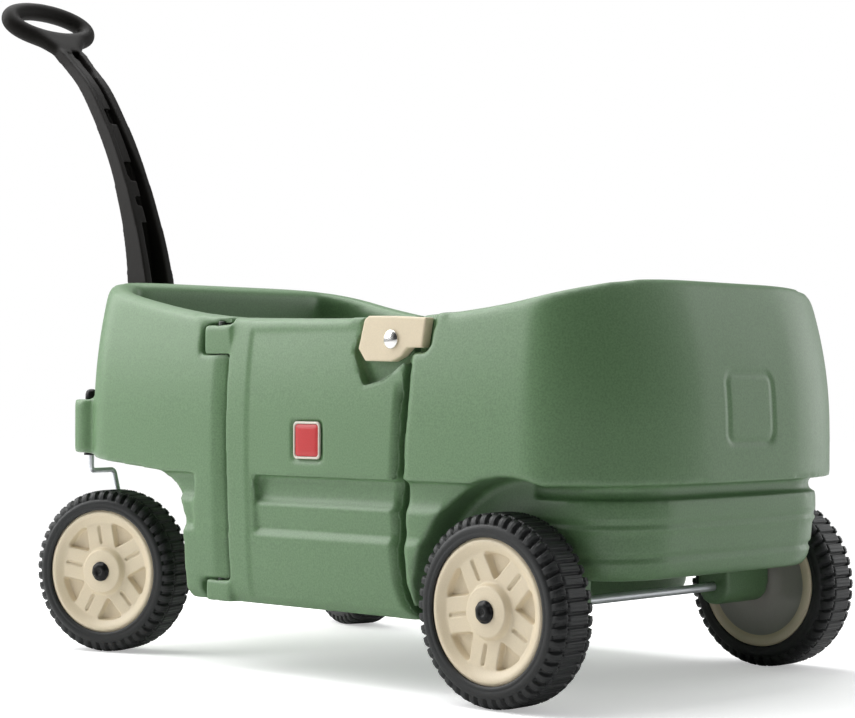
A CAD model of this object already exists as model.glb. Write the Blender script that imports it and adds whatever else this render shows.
"""A moulded tub on four wheels: a side door with a latch, a pull handle and swivelling front casters.

The row frame is in metres: +X is forward, +Y is left, +Z is up, and the wheels stand on z = 0.
The door is on the left side. Most places along the body are given as AXLE_X plus a distance.
"""

import math

import bmesh
import bpy
import numpy as np
from mathutils import Matrix, Vector

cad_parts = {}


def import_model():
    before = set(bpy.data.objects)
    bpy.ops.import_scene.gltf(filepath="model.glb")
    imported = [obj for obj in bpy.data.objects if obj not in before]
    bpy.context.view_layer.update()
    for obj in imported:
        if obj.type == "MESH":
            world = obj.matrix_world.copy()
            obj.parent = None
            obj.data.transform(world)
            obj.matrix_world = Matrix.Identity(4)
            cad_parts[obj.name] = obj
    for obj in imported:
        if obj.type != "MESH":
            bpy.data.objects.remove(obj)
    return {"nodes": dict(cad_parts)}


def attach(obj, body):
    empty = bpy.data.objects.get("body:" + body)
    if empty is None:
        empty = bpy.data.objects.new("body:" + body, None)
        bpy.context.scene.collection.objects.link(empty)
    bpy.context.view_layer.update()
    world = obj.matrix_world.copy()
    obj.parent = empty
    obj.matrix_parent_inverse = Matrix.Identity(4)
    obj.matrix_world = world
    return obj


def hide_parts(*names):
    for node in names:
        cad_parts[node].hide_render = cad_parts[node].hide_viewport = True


CAD_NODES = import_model()["nodes"]
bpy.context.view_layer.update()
scene = bpy.context.scene

# ---------------------------------------------------------------- driving dimensions
AXLE_X = -0.47815          # rear axle, along the body
AXLE_Z = 0.096             # every wheel centre above the floor
HUB_HALF_WIDTH = 0.0285
REAR_FACE_Y = 0.257        # outer plane of the rear hubs
REAR_SPIN = 8              # degrees a rear wheel is turned on its axle
FRONT_SPIN = 10
CAP_SEAT = 0.0286          # axle cap, outboard of the wheel's middle plane
CASTER_TURN = math.radians(18.3)
KINGPIN_X, KINGPIN_Y = AXLE_X + 0.681, 0.211
CASTER_TRAIL = 0.0349      # front axle behind its kingpin
FRONT_OFFSET = 0.003       # front wheel's middle plane, outboard of its kingpin
SIDES = ((1, "left"), (-1, "right"))

# top rim of the tub and door: distance ahead of the rear axle, height (mm)
RIM = np.array([
    (-170, 430), (-104, 426.5), (-88, 421), (-63, 412), (-31, 404), (5, 398.3), (42, 394),
    (81, 390.7), (120, 388.8), (170, 388), (220, 388), (300, 389.5), (362, 391.3), (412, 393.3),
    (455, 397), (502, 403.5), (529, 408), (560, 414), (600, 422.5), (644, 434.5), (666, 440.5),
    (690, 445), (720, 447), (860, 449)], float) / 1000

# rear edge of the door: distance ahead of the rear axle, height (mm)
DOOR_REAR = np.array([
    (108, 70), (112, 76), (118, 82), (127, 90), (132, 100), (136, 115), (138, 140), (138.3, 180),
    (137, 212), (134.5, 235), (133, 260), (130, 300), (126.7, 345), (124, 385), (122, 420)]) / 1000


# ---------------------------------------------------------------- numeric helpers
def pick(full):
    return full


def smooth(start, end, x):
    """Ease from 0 at start to 1 at end."""
    t = np.clip((np.asarray(x, float) - start) / (end - start), 0.0, 1.0)
    return t * t * (3 - 2 * t)


def fall(start, end, x):
    """Ease from 1 at start to 0 at end."""
    return 1 - smooth(start, end, x)


def between(x, low, high):
    return (x > low) & (x < high)


def rounded_box(u, v, centre_u, centre_v, half_u, half_v, radius):
    """Signed distance to a rounded rectangle."""
    over_u = np.abs(u - centre_u) - (half_u - radius)
    over_v = np.abs(v - centre_v) - (half_v - radius)
    outside = np.hypot(np.maximum(over_u, 0), np.maximum(over_v, 0))
    return outside + np.minimum(np.maximum(over_u, over_v), 0) - radius


def near_rim(x, z):
    """1 along the top rim, easing to 0 below it."""
    rim_z = np.interp(x - AXLE_X, RIM[:, 0], RIM[:, 1])
    return fall(0.004, 0.024, rim_z - z)


def door_rear_x(z):
    return np.interp(z, DOOR_REAR[:, 1], DOOR_REAR[:, 0]) + AXLE_X


def unit(vector):
    return vector / np.linalg.norm(vector)


def angles(count):
    return np.arange(count) * 2 * math.pi / count


# ---------------------------------------------------------------- mesh helpers
def relax(points, edges, rounds, weight=None):
    """Rounds of neighbour averaging, each vertex moved by its own weight."""
    points = points.copy()
    count = len(points)
    first, second = edges[:, 0], edges[:, 1]
    degree = np.bincount(edges.ravel(), minlength=count).astype(float)
    degree[degree == 0] = 1
    for _ in range(rounds):
        step = np.stack([
            (np.bincount(first, points[second, k], count)
             + np.bincount(second, points[first, k], count)) / degree - points[:, k]
            for k in range(3)], 1)
        points += 0.5 * (step if weight is None else step * weight[:, None])
    return points


def add_piece(name, points, faces, material, body, nodes=()):
    """Make a smooth-shaded object that rides on a body and replaces CAD nodes."""
    mesh = bpy.data.meshes.new(name)
    mesh.from_pydata(np.asarray(points, float).tolist(), [], faces)
    mesh.update()
    mesh.shade_smooth()
    piece = bpy.data.objects.new(name, mesh)
    scene.collection.objects.link(piece)
    mesh.materials.append(material)
    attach(piece, body)
    if nodes:
        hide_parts(*nodes)
    return piece


def connected_parts(bm):
    """Lists of vertices that hang together."""
    seen, parts = set(), []
    for start in bm.verts:
        if start.index in seen:
            continue
        waiting, part = [start], []
        seen.add(start.index)
        while waiting:
            vert = waiting.pop()
            part.append(vert)
            for edge in vert.link_edges:
                other = edge.other_vert(vert)
                if other.index not in seen:
                    seen.add(other.index)
                    waiting.append(other)
        parts.append(part)
    return parts


def outer_skin(node):
    """The node's mesh, welded, with the closed spaces inside it left out."""
    bm = bmesh.new()
    bm.from_mesh(CAD_NODES[node].data)
    bmesh.ops.remove_doubles(bm, verts=bm.verts, dist=1e-6)
    parts = connected_parts(bm)
    places = [np.array([vert.co[:] for vert in part]) for part in parts]
    largest = max(places, key=lambda place: float(np.linalg.norm(np.ptp(place, axis=0))))
    low, high = largest.min(0) + 1e-5, largest.max(0) - 1e-5
    enclosed = []
    for part, place in zip(parts, places):
        if np.all(place.min(0) > low) and np.all(place.max(0) < high):
            enclosed += part
    bmesh.ops.delete(bm, geom=enclosed, context="VERTS")
    mesh = bpy.data.meshes.new(node + "_skin")
    bm.to_mesh(mesh)
    bm.free()
    return mesh


def read_field(items, name, width=1, kind=int):
    values = np.empty(len(items) * width, kind)
    items.foreach_get(name, values)
    return values


def voxel_skin(node, size):
    """Voxel remesh of a node's outer skin; returns points, faces and edges."""
    source = bpy.data.objects.new("tmp", outer_skin(node))
    scene.collection.objects.link(source)
    remesh = source.modifiers.new("v", "REMESH")
    remesh.mode = "VOXEL"
    remesh.voxel_size = size
    remesh.adaptivity = 0
    evaluated = source.evaluated_get(bpy.context.evaluated_depsgraph_get())
    mesh = bpy.data.meshes.new_from_object(evaluated)
    points = read_field(mesh.vertices, "co", 3, float).reshape(-1, 3)
    corners = read_field(mesh.loops, "vertex_index")
    starts = read_field(mesh.polygons, "loop_start")
    totals = read_field(mesh.polygons, "loop_total")
    faces = [corners[start:start + total].tolist() for start, total in zip(starts, totals)]
    edges = read_field(mesh.edges, "vertices", 2).reshape(-1, 2)
    bpy.data.objects.remove(source)
    return points, faces, edges


def vertex_normals(points, faces):
    """Area-weighted vertex normals of a mesh of quads and triangles."""
    quads = np.array([face if len(face) == 4 else (*face[:3], face[2]) for face in faces])
    corner = [points[quads[:, k]] for k in range(4)]
    face_normals = np.cross(corner[2] - corner[0], corner[3] - corner[1])
    normals = np.zeros_like(points)
    for k in range(4):
        for axis in range(3):
            normals[:, axis] += np.bincount(quads[:, k], face_normals[:, axis], len(points))
    return normals / np.maximum(np.linalg.norm(normals, axis=1), 1e-12)[:, None]


def ring_faces(first, second, count):
    """Quads between two rings of vertices, given the index each ring starts at."""
    faces = []
    for i in range(count):
        j = (i + 1) % count
        faces.append((first + i, first + j, second + j, second + i))
    return faces


def lathe(profile, segments, place, relief=None):
    """Turn a closed (radius, height) profile about the Z of place = (origin, x, y, z).

    relief(radius, height, angle) may reshape the turned surface.
    """
    origin, axis_x, axis_y, axis_z = [np.asarray(part, float) for part in place]
    profile = np.asarray(profile, float)
    angle = angles(segments)
    radius = np.repeat(profile[:, 0][None], segments, 0)
    height = np.repeat(profile[:, 1][None], segments, 0)
    if relief is not None:
        radius, height = relief(radius, height, angle[:, None])
    spoke = np.cos(angle)[:, None, None] * axis_x + np.sin(angle)[:, None, None] * axis_y
    points = origin + radius[..., None] * spoke + height[..., None] * axis_z
    count = len(profile)
    faces = []
    for i in range(segments):
        j = (i + 1) % segments
        for k in range(count):
            m = (k + 1) % count
            faces.append((i * count + k, j * count + k, j * count + m, i * count + m))
    return points.reshape(-1, 3), faces


# ---------------------------------------------------------------- shader helpers
def set_inputs(tree, node, inputs):
    """Link the inputs given as sockets and set the others."""
    for key, value in inputs.items():
        if isinstance(value, bpy.types.NodeSocket):
            tree.links.new(value, node.inputs[key])
        else:
            node.inputs[key].default_value = value


def add_node(tree, kind, inputs=None, **settings):
    node = tree.nodes.new("ShaderNode" + kind)
    for key, value in settings.items():
        setattr(node, key, value)
    set_inputs(tree, node, inputs or {})
    return node


def noise(tree, vector, scale, detail):
    inputs = {"Vector": vector, "Scale": scale, "Detail": detail}
    return add_node(tree, "TexNoise", inputs).outputs["Fac"]


def map_range(tree, value, to_min=0.0, to_max=1.0, from_min=0.0, from_max=1.0, **settings):
    inputs = {"Value": value, "From Min": from_min, "From Max": from_max,
              "To Min": to_min, "To Max": to_max}
    return add_node(tree, "MapRange", inputs, **settings).outputs[0]


def mix_colour(tree, factor, first, second, **settings):
    # on a colour mix, sockets 6 and 7 are the two colours and output 2 is the result
    inputs = {0: factor, 6: first, 7: second}
    return add_node(tree, "Mix", inputs, data_type="RGBA", **settings).outputs[2]


def grey(tree, value):
    return add_node(tree, "CombineColor", {0: value, 1: value, 2: value}).outputs[0]


def bump_normal(tree, height, strength, distance):
    inputs = {"Strength": strength, "Distance": distance, "Height": height}
    return add_node(tree, "Bump", inputs).outputs[0]


def tint(rgb, factor, offset=0.0):
    return (*[min(1.0, channel * factor + offset) for channel in rgb], 1)


def new_material(name):
    """An empty material with a Principled shader; returns material, tree and shader."""
    material = bpy.data.materials.new(name)
    material.use_nodes = True
    tree = material.node_tree
    tree.nodes.clear()
    output = add_node(tree, "OutputMaterial")
    shader = add_node(tree, "BsdfPrincipled")
    tree.links.new(shader.outputs[0], output.inputs[0])
    return material, tree, shader


# ---------------------------------------------------------------- materials
def plastic(name, rgb, rough, speck, bump, wear, tone, speck_scale=900.0, grain=1400.0,
            specular=0.5):
    """Moulded plastic: slow tone drift, fine speckle, grain bump, lighter worn edges."""
    material, tree, shader = new_material(name)
    position = add_node(tree, "TexCoord").outputs["Object"]
    drift = noise(tree, position, scale=9.0, detail=4.0)
    fine = noise(tree, position, scale=speck_scale, detail=2.5)
    base = mix_colour(tree, drift, tint(rgb, 1 - tone), tint(rgb, 1 + tone))
    speckle = map_range(tree, fine, from_min=0.35, from_max=0.65,
                        to_min=1 - speck, to_max=1 + speck)
    speckled = mix_colour(tree, 1.0, base, grey(tree, speckle), blend_type="MULTIPLY")
    pointiness = add_node(tree, "NewGeometry").outputs["Pointiness"]
    edge = map_range(tree, pointiness, from_min=0.51, from_max=0.60, to_max=wear)
    worn = mix_colour(tree, edge, speckled, tint(rgb, 0.6, offset=0.42))
    roughness = map_range(tree, drift, to_min=max(0.05, rough - 0.06),
                          to_max=min(1.0, rough + 0.08))
    grain_height = noise(tree, position, scale=grain, detail=3.0)
    set_inputs(tree, shader, {
        "Base Color": worn,
        "Roughness": roughness,
        "Normal": bump_normal(tree, grain_height, strength=bump, distance=0.0006),
        "Specular IOR Level": specular})
    return material


def metal(name, rgb, rough, metallic=1.0, scratch=0.12, streak=(60.0, 60.0, 1400.0)):
    """Plated steel: fine drawn streaks, small stains, scratched roughness."""
    material, tree, shader = new_material(name)
    position = add_node(tree, "TexCoord").outputs["Object"]
    stretched = add_node(tree, "Mapping", {"Vector": position, "Scale": streak}).outputs[0]
    streaks = noise(tree, stretched, scale=1.0, detail=4.0)
    stains = noise(tree, position, scale=45.0, detail=5.0)
    set_inputs(tree, shader, {
        "Metallic": metallic,
        "Base Color": mix_colour(tree, stains, tint(rgb, 0.84), tint(rgb, 1.08)),
        "Roughness": map_range(tree, streaks, to_min=rough, to_max=rough + scratch),
        "Normal": bump_normal(tree, streaks, strength=0.08, distance=0.0003)})
    return material


GREEN = plastic("sage_moulding", (0.112, 0.205, 0.096), rough=0.40, speck=0.12, bump=0.16,
                wear=0.12, tone=0.05, speck_scale=520.0, grain=850.0)
BEIGE = plastic("beige_moulding", (0.70, 0.602, 0.436), rough=0.42, speck=0.030, bump=0.05,
                wear=0.06, tone=0.03)
TAN = plastic("tan_latch", (0.68, 0.580, 0.412), rough=0.42, speck=0.03, bump=0.05,
              wear=0.08, tone=0.03)
RUBBER = plastic("tyre_plastic", (0.016, 0.017, 0.017), rough=0.46, speck=0.18, bump=0.22,
                 wear=0.05, tone=0.10, speck_scale=700.0, grain=1100.0, specular=0.35)
DARK = plastic("handle_plastic", (0.0100, 0.0090, 0.0080), rough=0.50, speck=0.16, bump=0.16,
               wear=0.02, tone=0.10, speck_scale=700.0, grain=900.0, specular=0.10)
INNER = plastic("wheel_inner", (0.36, 0.34, 0.315), rough=0.45, speck=0.04, bump=0.06,
                wear=0.03, tone=0.08)
BLACK = plastic("cap_plastic", (0.005, 0.005, 0.005), rough=0.34, speck=0.10, bump=0.08,
                wear=0.01, tone=0.1, specular=0.22)
RED = plastic("red_plate", (0.50, 0.022, 0.024), rough=0.30, speck=0.04, bump=0.04,
              wear=0.03, tone=0.05)
CREAM = plastic("plate_border", (0.62, 0.58, 0.50), rough=0.35, speck=0.03, bump=0.04,
                wear=0.04, tone=0.03)
ZINC = metal("zinc_plate", (0.74, 0.76, 0.79), rough=0.26, metallic=0.62)
DULL = metal("dull_pin", (0.10, 0.11, 0.10), rough=0.45, metallic=0.8)
SCREW = metal("screw_steel", (0.78, 0.77, 0.75), rough=0.12, scratch=0.10,
              streak=(300.0, 300.0, 300.0))


# ---------------------------------------------------------------- tub
# In the tub and door, x, y and z are views of the points: changing one moves the points.
DOOR_GAP_BAND = 0.012      # reach of the softening either side of the door's rear gap
TAIL_GROOVES = ((0.180, 0.0026), (0.147, 0.0030))      # height, depth
GROOVE_WIDTH = 0.0026
# outline on the rear face: centre y and z, half sizes, corner radius
REAR_OUTLINE = (0.0, 0.294, 0.0385, 0.0345, 0.010)


def build_tub():
    points, faces, edges = voxel_skin("tub_shell", pick(0.0030))
    points = relax(points, edges, pick(4))
    x, y, z = points.T
    gap = door_rear_x(z) - 0.0025 - x
    gap_edge = (y > 0.205) & (np.abs(gap) < DOOR_GAP_BAND) & (z < 0.340)
    points = relax(points, edges, pick(12), gap_edge.astype(float))

    # the side rolls in towards the opening at the front of the door
    x, y, z = points.T
    normals = vertex_normals(points, faces)
    faces_left = normals[:, 1] > 0.25
    front = (y > 0.215) & faces_left & (x > AXLE_X + 0.400) & (z > 0.075)
    y -= np.where(front, 0.0045 * fall(AXLE_X + 0.407, AXLE_X + 0.430, x), 0)
    # and again at the rear of the door
    rear = (y > 0.215) & faces_left & between(x, AXLE_X + 0.085, AXLE_X + 0.150)
    gap = door_rear_x(z) - 0.0025 - x
    y -= np.where(rear, 0.0030 * fall(0.0, 0.010, gap), 0)

    # round the rim, sparing the latch and hinge seats
    weight = near_rim(x, z)
    latch = between(x, AXLE_X + 0.080, AXLE_X + 0.140) & (y > 0.200)
    hinge = between(x, AXLE_X + 0.395, AXLE_X + 0.465) & (y > 0.196)
    weight[latch | hinge] *= 0.12
    points = relax(points, edges, pick(34), weight)

    # two shallow grooves round the tail between the rear wheels
    x, y, z = points.T
    normals = vertex_normals(points, faces)
    tail = ((x < AXLE_X + 0.060) & (np.abs(y) < 0.1935) & (np.abs(normals[:, 2]) < 0.75)
            & (z < 0.200))
    for height, depth in TAIL_GROOVES:
        sink = depth * np.exp(-((z - height) / GROOVE_WIDTH) ** 2)
        points -= normals * np.where(tail, sink, 0)[:, None]

    # plain rounded outline pressed into the rear face
    pressed = fall(0.0012, 0.0042, np.abs(rounded_box(y, z, *REAR_OUTLINE)))
    x += np.where(x < AXLE_X - 0.118, pressed * 0.0012, 0)
    add_piece("tub_moulding", points, faces, GREEN, "tub", ["tub_shell"])


# ---------------------------------------------------------------- door
def build_door():
    points, faces, edges = voxel_skin("door_panel", pick(0.0022))
    points = relax(points, edges, pick(2))

    # round the rim, sparing the latch recess and the hinge side
    x, y, z = points.T
    weight = near_rim(x, z)
    weight[(x < AXLE_X + 0.215) & (y > 0.205)] *= 0.05
    weight[x > AXLE_X + 0.398] *= 0.15
    points = relax(points, edges, pick(50), weight)
    x, y, z = points.T
    lower = (z < 0.245) & (x > AXLE_X + 0.150)
    points = relax(points, edges, pick(5), lower.astype(float))

    # the rear edge rolls in towards the gap, below the latch recess
    x, y, z = points.T
    faces_left = vertex_normals(points, faces)[:, 1]
    gap = x - (door_rear_x(z) + 0.0035)
    gap_edge = (y > 0.205) & (np.abs(gap) < DOOR_GAP_BAND) & (z < 0.318)
    points = relax(points, edges, pick(14), gap_edge.astype(float))
    x, y, z = points.T
    rolled = (y > 0.2150) & (faces_left > 0.25) & (z < 0.318) & (gap < DOOR_GAP_BAND)
    roll = 0.0085 * (1 - np.clip(gap / 0.0115, 0, 1)) ** 1.6 * fall(0.306, 0.322, z)
    y -= np.where(rolled, roll, 0)

    # the panel is sunk, which leaves a plain upright margin proud along the hinge side
    panel = (y > 0.2235) & (faces_left > 0.6)
    behind_margin = fall(AXLE_X + 0.364, AXLE_X + 0.373, x)
    sink = 0.0016 * behind_margin * smooth(0.080, 0.090, z) * fall(0.372, 0.384, z)
    y -= np.where(panel, sink, 0)
    add_piece("door_moulding", points, faces, GREEN, "door", ["door_panel"])


# ---------------------------------------------------------------- latch and its screw
SCREW_PLACE = ((AXLE_X + 0.149, 0.2351, 0.364), (1, 0, 0), (0, 0, -1), (0, 1, 0))
SCREW_AXIS = 0.0001        # smallest radius, at the middle of the head and shank


def build_latch():
    points, faces, edges = voxel_skin("latch_lever", pick(0.0008))
    points = relax(points, edges, 2)
    add_piece("latch_moulding", points, faces, TAN, "latch", ["latch_lever"])


def build_screw():
    """Domed head on a plain shank, pointing inwards along -Y."""
    dome = [(0.0099 * t, 0.0006 + 0.0038 * math.sqrt(max(0.0, 1 - (0.97 * t) ** 2.2)))
            for t in np.linspace(0.04, 1, 30)]
    profile = [(SCREW_AXIS, 0.0044), *dome, (0.0100, 0.0005), (0.0100, 0.0), (0.0041, 0.0),
               (0.0040, -0.028), (SCREW_AXIS, -0.028)]
    points, faces = lathe(profile, 96, SCREW_PLACE)
    add_piece("latch_screw_head", points, faces, SCREW, "door", ["latch_screw"])


# ---------------------------------------------------------------- plate on the door
PLATE_X, PLATE_Z = AXLE_X + 0.2723, 0.258
PLATE_SEGMENTS = 128


def rounded_outline(half_x, half_z, radius):
    """Where evenly turned rays from the centre leave a rounded rectangle."""
    turn = angles(PLATE_SEGMENTS)
    rays = np.stack([np.cos(turn), np.sin(turn)], 1)
    low, high = np.zeros(PLATE_SEGMENTS), np.full(PLATE_SEGMENTS, 0.2)
    for _ in range(40):
        middle = (low + high) / 2
        u, v = (rays * middle[:, None]).T
        inside = rounded_box(u, v, 0, 0, half_x, half_z, radius) < 0
        low, high = np.where(inside, middle, low), np.where(inside, high, middle)
    return rays * low[:, None]


def build_plate(name, half_x, half_z, radius, back_y, front_y, material, nodes=(), hole=None):
    """Rounded plate with eased edges: a frame if it has a hole, else softly crowned."""
    crown = rounded_outline(half_x - 0.0009, half_z - 0.0009, radius - 0.0006)
    rings = [
        (rounded_outline(half_x, half_z, radius), back_y),
        (rounded_outline(half_x, half_z, radius), front_y - 0.0008),
        (rounded_outline(half_x - 0.0003, half_z - 0.0003, radius - 0.0002), front_y - 0.0003),
        (crown, front_y)]
    if hole:
        hole_x, hole_z, hole_radius = hole
        bore = rounded_outline(*hole)
        rings += [
            (rounded_outline(hole_x + 0.0005, hole_z + 0.0005, hole_radius + 0.0003), front_y),
            (bore, front_y - 0.0005),
            (bore, back_y)]
    else:
        rings += [(crown * 0.66, front_y + 0.00010), (crown * 0.33, front_y + 0.00016)]
    points = [(PLATE_X + u, y, PLATE_Z + v) for outline, y in rings for u, v in outline]
    count, total = PLATE_SEGMENTS, len(points)
    faces = []
    for start in range(0, total - count, count):
        faces += ring_faces(start, start + count, count)
    if hole:
        faces += ring_faces(total - count, 0, count)
    else:
        points += [(PLATE_X, front_y + 0.0002, PLATE_Z), (PLATE_X, back_y, PLATE_Z)]
        last = total - count
        faces += [(last + i, last + (i + 1) % count, total) for i in range(count)]
        faces += [((i + 1) % count, i, total + 1) for i in range(count)]
    add_piece(name, points, faces, material, "door", nodes)


# ---------------------------------------------------------------- pull handle
def build_handle():
    points, faces, edges = voxel_skin("pull_handle", pick(0.0015))
    points = relax(points, edges, pick(2))
    top = smooth(0.776, 0.790, points[:, 2])
    points = relax(points, edges, pick(60), top)
    add_piece("handle_moulding", points, faces, DARK, "handle",
              ["pull_handle"])


build_tub()
build_door()
build_latch()
build_screw()
build_plate("plate_field", half_x=0.0178, half_z=0.0173, radius=0.0036, back_y=0.2372,
            front_y=0.2390, material=RED, nodes=["door_badge_plate"])
build_plate("plate_border", half_x=0.0205, half_z=0.0200, radius=0.0050, back_y=0.2371,
            front_y=0.2396, material=CREAM, hole=(0.0180, 0.0175, 0.0038))
build_handle()

# ---------------------------------------------------------------- wheels, profiles in millimetres
SPOKES = 5
LUGS = 46
# radii of the rings on the hub's outer face
HUB_FACE = np.concatenate([np.linspace(5.2, 30, 30), np.linspace(30.8, 58, 44),
                           np.linspace(58.5, 72.3, 22)])
# rest of the hub, from the outer rim round the back to the bore: radius, height
HUB_BACK = [(72.5, 24.0), (72.5, -26.2), (71.8, -27.6), (70.0, -28.4), (62.0, -28.5),
            (60.0, -26.2), (35.0, -25.8), (24.0, -26.2), (22.2, -28.4), (12.0, -28.5),
            (5.2, -28.5)]
HUB_BACK_RECESS = 5        # entry of HUB_BACK where the inner material starts
# outer half of the tyre, from the hub to the middle of the tread: height, radius
TYRE_HALF = [
    (26.0, 72.6), (27.2, 73.2), (27.9, 74.6), (28.1, 76.6), (27.8, 77.4), (28.2, 78.4),
    (28.4, 81.0), (28.2, 83.0), (27.5, 84.4), (26.9, 85.2), (26.9, 86.0), (26.8, 87.4),
    (26.4, 89.0), (25.7, 90.8), (24.6, 92.4), (23.0, 93.8), (21.2, 94.8), (19.0, 95.4),
    (17.6, 95.7), (16.4, 95.8), (15.8, 95.2), (15.2, 94.2), (14.7, 94.2), (14.1, 95.2),
    (13.5, 95.9), (12.0, 96.0), (10.4, 96.0), (8.4, 96.0), (6.4, 96.0), (4.4, 96.0),
    (2.4, 96.0), (0.8, 96.0)]
# inside of the tyre against the hub: radius, height
TYRE_SEAT = [(72.5, -25.0), (72.5, 0.0), (72.5, 25.0)]
RIB_HEIGHT = 0.28
CAP_HEIGHT = 4.4
# axle cap: radius, share of the cap height
CAP_PROFILE = [(0.0002, 0.86), (1.6, 0.88), (3.2, 0.80), (3.9, 0.98), (5.6, 1.0), (7.4, 0.96),
               (8.8, 0.80), (9.4, 0.52), (10.0, 0.44), (10.9, 0.40), (11.4, 0.26), (11.5, 0.0),
               (0.0002, 0.0)]


def hub_face_height(r, angle):
    """Height of the outer face over the wheel's middle plane, in mm."""
    boss = 28.2 - 0.9 * smooth(12, 25, r)
    height = boss * fall(24.3, 29.4, r) + 20.2 * smooth(24.3, 29.4, r)
    height = height + 0.8 * smooth(30.0, 56.0, r) + 5.6 * smooth(56.0, 68.0, r)
    height = height - 2.6 * smooth(68.8, 72.6, r)
    # place measured from the nearest spoke
    turn = (angle + math.pi / SPOKES) % (2 * math.pi / SPOKES) - math.pi / SPOKES
    aside = np.abs(r * np.sin(turn))
    along = r * np.cos(turn)
    # rounded pockets between the spokes
    half_spoke, corner, inner, outer = 18.4, 3.6, 31.5, 58.0
    over = np.stack([half_spoke + corner - aside, r - (outer - corner), (inner + corner) - r])
    pocket = np.sqrt((np.maximum(over, 0) ** 2).sum(0)) + np.minimum(over.max(0), 0) - corner
    height = height - 7.4 * fall(-1.7, 0.9, pocket)
    # a slot along each spoke: middle radius, half length, half width
    middle, half_length, half_width = 43.5, 9.2, 2.1
    slot = np.hypot(aside, np.maximum(np.abs(along - middle) - half_length, 0)) - half_width
    return height - 2.6 * fall(-1.0, 0.7, slot)


def build_hub(name, place, body, node):
    face_count = len(HUB_FACE)

    def relief(radius, height, angle):
        height = height.copy()
        face_radius = radius[:, :face_count] * 1000
        height[:, :face_count] = hub_face_height(face_radius, angle) / 1000
        return radius, height

    profile = np.array([(r, 0.0) for r in HUB_FACE] + HUB_BACK) / 1000
    points, faces = lathe(profile, pick(300), place, relief)
    hub = add_piece(name, points, faces, BEIGE, body, [node])
    hub.data.materials.append(INNER)
    count = len(profile)
    for i, polygon in enumerate(hub.data.polygons):
        if face_count + HUB_BACK_RECESS <= i % count < count - 1:
            polygon.material_index = 1


def tyre_relief(radius, height, angle):
    """Cut the lugs and their small ribs into the tyre; the seat stays plain."""
    radius, height = radius.copy(), height.copy()
    tread = slice(0, 2 * len(TYRE_HALF))
    r, h = radius[:, tread] * 1000, height[:, tread] * 1000
    off_middle = np.abs(h)
    # the cuts between lugs lean over at the shoulders and are offset from side to side
    turn = angle + (0.020 * smooth(15.0, 28.0, off_middle) * np.sign(h)
                    + math.pi / LUGS * (h < -15.0)
                    + 0.5 * math.pi / LUGS * (off_middle < 15.0))
    phase = (turn * LUGS / (2 * math.pi)) % 1.0
    from_cut = np.abs(phase - 0.5) * 2 * math.pi * 95.0 / LUGS
    half_width = 1.5 + 1.2 * smooth(15.0, 25.0, off_middle)
    cut = fall(half_width - 0.5, half_width + 0.5, from_cut)
    depth = (3.0 + 2.4 * smooth(15.0, 24.0, off_middle)) * smooth(85.3, 87.0, r)
    side_cut = cut * 2.2 * smooth(85.0, 86.5, r) * fall(91.0, 94.5, r)
    rib = RIB_HEIGHT * np.cos(turn * LUGS * 3) * (1 - cut) * smooth(86.5, 89.0, r)
    radius[:, tread] = (r - cut * depth * smooth(84.0, 93.0, r) + rib - RIB_HEIGHT) / 1000
    height[:, tread] = (h - np.sign(h) * side_cut) / 1000
    return radius, height


def build_tyre(name, place, body, node):
    outer = [(r, h) for h, r in TYRE_HALF]
    inner = [(r, -h) for h, r in TYRE_HALF[::-1]]
    profile = np.array(outer + inner + TYRE_SEAT) / 1000
    points, faces = lathe(profile, LUGS * pick(16), place, tyre_relief)
    add_piece(name, points, faces, RUBBER, body, [node])


def cap_relief(radius, height, angle):
    """Eight shallow notches round the brim."""
    notch = 0.0006 * (0.5 + 0.5 * np.cos(angle * 8)) * smooth(0.0075, 0.0092, radius)
    return radius, height - notch * (height > 0.0004)


def build_cap(name, place, body, nodes=()):
    profile = [(r / 1000, CAP_HEIGHT * share / 1000) for r, share in CAP_PROFILE]
    points, faces = lathe(profile, 96, place, cap_relief)
    add_piece(name, points, faces, BLACK, body, nodes)


# Wheel places are (origin, x, y, z) with the local z pointing outboard.
def rear_place(side, outboard=0.0):
    c, s = math.cos(math.radians(REAR_SPIN)), math.sin(math.radians(REAR_SPIN))
    y = side * (REAR_FACE_Y - HUB_HALF_WIDTH) + side * outboard
    return (AXLE_X, y, AXLE_Z), (c, 0, -s), (-side * s, 0, -side * c), (0, side, 0)


def up(z):
    return np.array([0, 0, z])


def caster_frame(side):
    """Directions forward and outboard of a turned caster, and its kingpin on the floor."""
    forward = np.array([math.cos(CASTER_TURN), math.sin(CASTER_TURN) * side, 0.0])
    outward = np.array([-math.sin(CASTER_TURN), math.cos(CASTER_TURN) * side, 0.0])
    return forward, outward, np.array([KINGPIN_X, KINGPIN_Y * side, 0.0])


def front_place(side, outboard=0.0):
    forward, outward, kingpin = caster_frame(side)
    c, s = math.cos(math.radians(FRONT_SPIN)), math.sin(math.radians(FRONT_SPIN))
    axis_x = forward * c + up(s)
    origin = kingpin - CASTER_TRAIL * forward + (FRONT_OFFSET + outboard) * outward + up(AXLE_Z)
    return origin, axis_x, np.cross(outward, axis_x), outward


# cap over the top of a caster stem, in metres: radius, height
STEM_CAP = [(0.0000002, 0.0125), (0.0026, 0.0122), (0.0050, 0.0112), (0.0066, 0.0092),
            (0.0074, 0.0060), (0.0075, 0.0025), (0.0075, 0.0), (0.0034, 0.0), (0.0034, 0.006),
            (0.0000002, 0.006)]
STEM_CAP_Z = 0.3001


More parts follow.
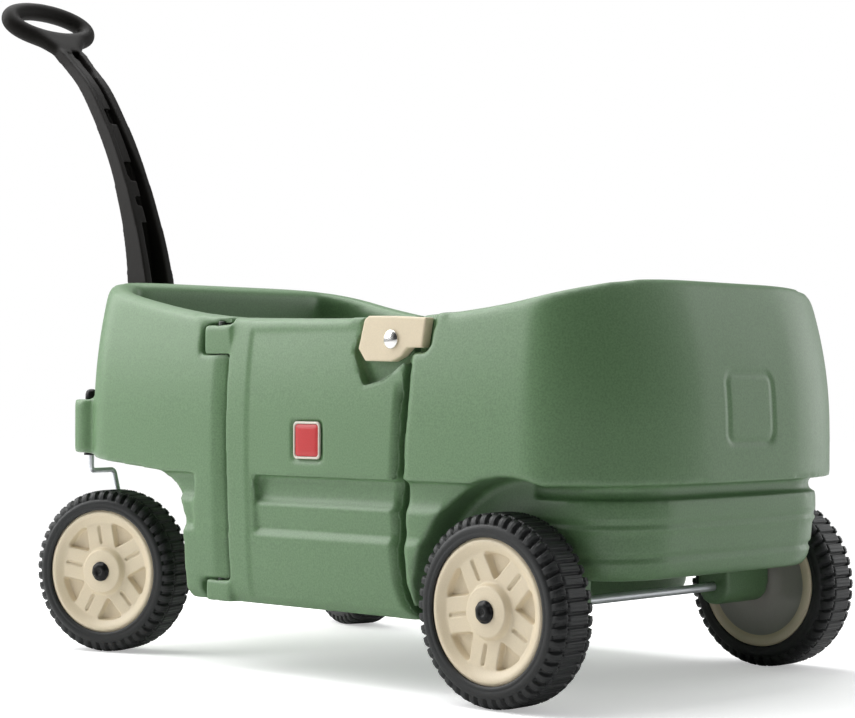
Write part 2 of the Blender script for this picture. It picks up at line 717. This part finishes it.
def build_stem_cap(side, word):
    kingpin = caster_frame(side)[2]
    place = (kingpin + up(STEM_CAP_Z), (1, 0, 0), (0, 1, 0), (0, 0, 1))
    points, faces = lathe(STEM_CAP, 64, place)
    add_piece("stem_cap_" + word, points, faces, BLACK, "caster_" + word,
              ["caster_stem_cap_" + word])


for side, word in SIDES:
    for end, place in (("rear", rear_place(side)), ("front", front_place(side))):
        body = f"{end}_wheel_{word}"
        build_hub(f"{end}_hub_{word}", place, body, f"{end}_wheel_centre_{word}")
        build_tyre(f"{end}_tread_{word}", place, body, f"{end}_tyre_{word}")
    build_cap("front_cap_" + word, front_place(side, CAP_SEAT), "caster_" + word,
              ["front_axle_cap_" + word])
    build_stem_cap(side, word)

# one CAD node holds both rear caps, so only the left one replaces it
build_cap("rear_cap_left", rear_place(1, CAP_SEAT), "tub", ["rear_axle_caps"])
build_cap("rear_cap_right", rear_place(-1, CAP_SEAT), "tub")

# ---------------------------------------------------------------- caster wires and rear rod
CASTER_WIRE_RADIUS = 0.00325
CASTER_BEND_RADIUS = 0.005
# corners of the left or right wire: forward and outboard of the kingpin, height
CASTER_WIRE = [(0, 0, 0.3061), (0, 0, 0.214), (-0.006, -0.039, 0.214),
               (-CASTER_TRAIL, -0.039, AXLE_Z), (-CASTER_TRAIL, 0.0346, AXLE_Z)]
ROD_RADIUS = 0.00475
ROD_HALF_LENGTH = 0.2596
ROD_STEPS = 40


def fillet_path(corners, radius, steps=10):
    """A polyline with every inner corner turned into an arc."""
    path = [corners[0]]
    for before, corner, after in zip(corners, corners[1:], corners[2:]):
        back, ahead = unit(before - corner), unit(after - corner)
        angle = math.acos(np.clip(np.dot(back, ahead), -1, 1))
        reach = radius / math.tan(angle / 2)
        centre = corner + unit(back + ahead) * radius / math.sin(angle / 2)
        start, end = corner + back * reach - centre, corner + ahead * reach - centre
        axis = unit(np.cross(start, end))
        for k in range(steps + 1):
            t = (math.pi - angle) * k / steps
            path.append(centre + start * math.cos(t) + np.cross(axis, start) * math.sin(t))
    path.append(corners[-1])
    return path


def tube(path, radius, segments):
    """Round rod along a path, with parallel frames and eased ends."""
    path = np.asarray(path, float)
    tangents = np.gradient(path, axis=0)
    tangents /= np.linalg.norm(tangents, axis=1)[:, None]
    ease = radius * 0.25
    start, end, first, last = path[0], path[-1], tangents[0], tangents[-1]
    stations = [(start, first, radius * 0.02), (start, first, radius - ease),
                (start + first * ease, first, radius)]
    stations += [(centre, along, radius) for centre, along in zip(path[1:-1], tangents[1:-1])]
    stations += [(end - last * ease, last, radius), (end, last, radius - ease),
                 (end, last, radius * 0.02)]
    turn = angles(segments)
    cosines, sines = np.cos(turn)[:, None], np.sin(turn)[:, None]
    across = unit(np.cross(first, (0.123, 0.456, 0.789)))      # any direction off the path
    points, faces = [], []
    for centre, along, ring_radius in stations:
        across = unit(across - along * np.dot(across, along))
        points += list(centre + ring_radius * (cosines * across
                                               + sines * np.cross(along, across)))
    end_ring = (len(stations) - 1) * segments
    for ring in range(0, end_ring, segments):
        faces += ring_faces(ring, ring + segments, segments)
    faces.append(tuple(range(segments))[::-1])
    faces.append(tuple(range(end_ring, end_ring + segments)))
    return points, faces


for side, word in SIDES:
    forward, outward, kingpin = caster_frame(side)
    corners = [kingpin + forward * x + outward * y + up(z) for x, y, z in CASTER_WIRE]
    points, faces = tube(fillet_path(corners, CASTER_BEND_RADIUS), CASTER_WIRE_RADIUS, 32)
    add_piece("caster_wire_bent_" + word, points, faces, ZINC, "caster_" + word,
              ["caster_wire_" + word])

rod_path = [(AXLE_X, -ROD_HALF_LENGTH + ROD_HALF_LENGTH * 2 * k / ROD_STEPS, AXLE_Z)
            for k in range(ROD_STEPS + 1)]
points, faces = tube(rod_path, ROD_RADIUS, 48)
add_piece("rear_rod", points, faces, ZINC, "tub", ["rear_axle_rod"])

# ---------------------------------------------------------------- CAD nodes that keep their shape
for node, material in (
        ("handle_pivot_pin", ZINC), ("door_hinge_pin_upper", DULL),
        ("door_hinge_pin_lower", DULL), ("handle_pin_caps", BLACK),
        ("rear_axle_spacers", BLACK), ("caster_bushings", BLACK),
        ("front_spacer_left", BLACK), ("front_spacer_right", BLACK)):
    mesh = CAD_NODES[node].data
    mesh.materials.clear()
    mesh.materials.append(material)

# ---------------------------------------------------------------- floor and world
FLOOR_HALF = 9
CAMERA_HEADING = 0.761     # radians in plan, from -Y towards +X
LOOK = Vector((math.sin(CAMERA_HEADING), -math.cos(CAMERA_HEADING), 0.0))
LOOK_RIGHT = Vector((LOOK.y, -LOOK.x, 0.0))


def floor_material():
    """Pale floor that the camera sees lifted to white and fading into the backdrop."""
    material = bpy.data.materials.new("pale_floor")
    material.use_nodes = True
    tree = material.node_tree
    surface = tree.nodes["Principled BSDF"]
    mottle = add_node(tree, "TexNoise", {"Scale": 3.0}).outputs["Fac"]
    shade = map_range(tree, mottle, to_min=0.90, to_max=0.94)
    set_inputs(tree, surface, {"Base Color": grey(tree, shade), "Roughness": 0.9,
                               "Specular IOR Level": 0.1})
    camera_ray = add_node(tree, "LightPath").outputs["Is Camera Ray"]
    position = add_node(tree, "NewGeometry").outputs["Position"]
    distance = add_node(tree, "VectorMath", {0: position}, operation="LENGTH")
    fade = map_range(tree, distance.outputs["Value"], from_min=0.75, from_max=1.9,
                     interpolation_type="SMOOTHSTEP")
    seen_fade = add_node(tree, "Math", {0: fade, 1: camera_ray}, operation="MULTIPLY")
    lift = add_node(tree, "Math", {0: camera_ray, 1: 0.40}, operation="MULTIPLY")
    glow = add_node(tree, "Emission", {"Strength": lift.outputs[0]})
    backdrop = add_node(tree, "Emission", {"Strength": 1.05})
    lifted = add_node(tree, "AddShader", {0: surface.outputs[0], 1: glow.outputs[0]})
    blend = add_node(tree, "MixShader", {0: seen_fade.outputs[0], 1: lifted.outputs[0],
                                         2: backdrop.outputs[0]})
    set_inputs(tree, tree.nodes["Material Output"], {0: blend.outputs[0]})
    return material


def build_floor():
    material = floor_material()
    mesh = bpy.data.meshes.new("floor")
    corners = [(x * FLOOR_HALF, y * FLOOR_HALF, 0) for x, y in ((-1, -1), (1, -1), (1, 1), (-1, 1))]
    mesh.from_pydata(corners, [], [(0, 1, 2, 3)])
    mesh.materials.append(material)
    floor = bpy.data.objects.new("floor", mesh)
    scene.collection.objects.link(floor)


def build_world():
    """White to the camera; as light, darkest behind the camera and brighter elsewhere."""
    world = bpy.data.worlds.new("studio")
    scene.world = world
    world.use_nodes = True
    tree = world.node_tree
    tree.nodes.clear()
    camera_ray = add_node(tree, "LightPath").outputs["Is Camera Ray"]
    seen = add_node(tree, "Background", {"Color": (1, 1, 1, 1), "Strength": 1.0})
    direction = add_node(tree, "TexCoord").outputs["Generated"]
    behind = add_node(tree, "VectorMath", {0: direction, 1: tuple(-LOOK)},
                      operation="DOT_PRODUCT")
    strength = map_range(tree, behind.outputs["Value"], from_min=0.05, from_max=0.75,
                         to_min=0.55, to_max=0.05, interpolation_type="SMOOTHSTEP")
    fill = add_node(tree, "Background", {"Color": (0.97, 0.985, 1.0, 1), "Strength": strength})
    blend = add_node(tree, "MixShader", {0: camera_ray, 1: fill.outputs[0], 2: seen.outputs[0]})
    add_node(tree, "OutputWorld", {0: blend.outputs[0]})


# ---------------------------------------------------------------- lights and camera
LIGHT_TARGET = Vector((0, 0, 0.25))


def area_light(name, right, away, above, width, height, power):
    """Rectangle aimed at the target, placed from it as the camera sees it."""
    light = bpy.data.lights.new(name, "AREA")
    light.shape = "RECTANGLE"
    light.size, light.size_y = width, height
    light.energy = power
    lamp = bpy.data.objects.new(name, light)
    scene.collection.objects.link(lamp)
    location = LIGHT_TARGET + LOOK_RIGHT * right + LOOK * away + Vector((0, 0, above))
    lamp.location = location
    lamp.rotation_euler = (LIGHT_TARGET - location).to_track_quat("-Z", "Y").to_euler()


def build_camera():
    camera = bpy.data.cameras.new("camera")
    camera.sensor_width = 36.0
    camera.lens = 89.9852632
    camera.clip_end = 60
    holder = bpy.data.objects.new("camera", camera)
    scene.collection.objects.link(holder)
    across = (-0.724129, -0.689664, 0.000890)
    above = (-0.009132, 0.010879, 0.999899)
    ahead = (0.689604, -0.724048, 0.014175)
    location = (-1.39446 + AXLE_X, 1.80174, 0.31252)
    rows = [(a, u, -d, place) for a, u, d, place in zip(across, above, ahead, location)]
    holder.matrix_world = Matrix((*rows, (0, 0, 0, 1)))
    scene.camera = holder


build_floor()
build_world()
area_light("left_key", right=-2.5, away=0.35, above=1.45, width=2.8, height=2.4, power=78)
area_light("right_rim", right=2.4, away=0.9, above=0.6, width=1.6, height=1.8, power=17)
area_light("top_soft", right=-0.5, away=0.5, above=2.5, width=3.0, height=3.0, power=86)
build_camera()
scene.view_settings.view_transform = "Standard"
scene.view_settings.look = "None"
